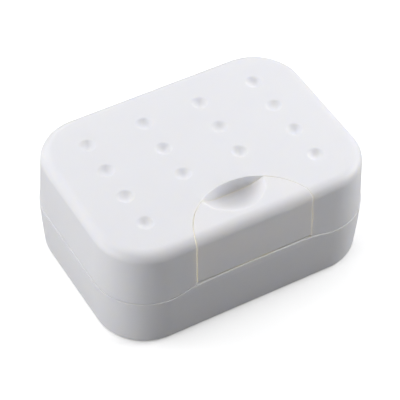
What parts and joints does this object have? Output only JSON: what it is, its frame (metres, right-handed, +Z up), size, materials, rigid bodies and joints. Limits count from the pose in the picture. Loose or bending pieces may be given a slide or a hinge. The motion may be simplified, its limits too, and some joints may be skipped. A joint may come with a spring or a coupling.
{
  "type": "travel soap box",
  "caption": "Hinged rounded travel soap box with a dimpled lid, a pull-down front latch with a finger scoop, and a slotted drain tray.",
  "frame": {"origin": "middle of the base's flat underside, on the pad at its centre", "axes": "+Z up, +X to the right along the length, front with the latch towards -Y, hinge towards +Y"},
  "size_m": [0.1106, 0.0862, 0.0463],
  "materials": {
    "shell": "fine satin moulded polypropylene",
    "latch": "fine satin moulded polypropylene",
    "tray": "satin moulded polypropylene",
    "pin": "drawn stainless wire"
  },
  "bodies": {
    "base": {"base_shell": "shell", "hinge_pin_left": "pin", "hinge_pin_right": "pin"},
    "lid": {"lid_shell": "shell", "latch_pin_left": "pin", "latch_pin_right": "pin"},
    "latch": {"latch_flap": "latch"},
    "tray": {"drain_tray": "tray"}
  },
  "joints": [
    {"name": "lid_open", "type": "hinge", "parent": "base", "child": "lid", "pos_m": [0, 0.043, 0.0224], "axis": [-1, 0, 0], "range_deg": [0, 110]},
    {"name": "latch_open", "type": "hinge", "parent": "lid", "child": "latch", "pos_m": [0, -0.0372, 0.027], "axis": [1, 0, 0], "range_deg": [0, 85]},
    {"name": "tray_lift", "type": "slide", "parent": "base", "child": "tray", "axis": [0, 0, 1], "range_m": [0, 0.01]}
  ]
}
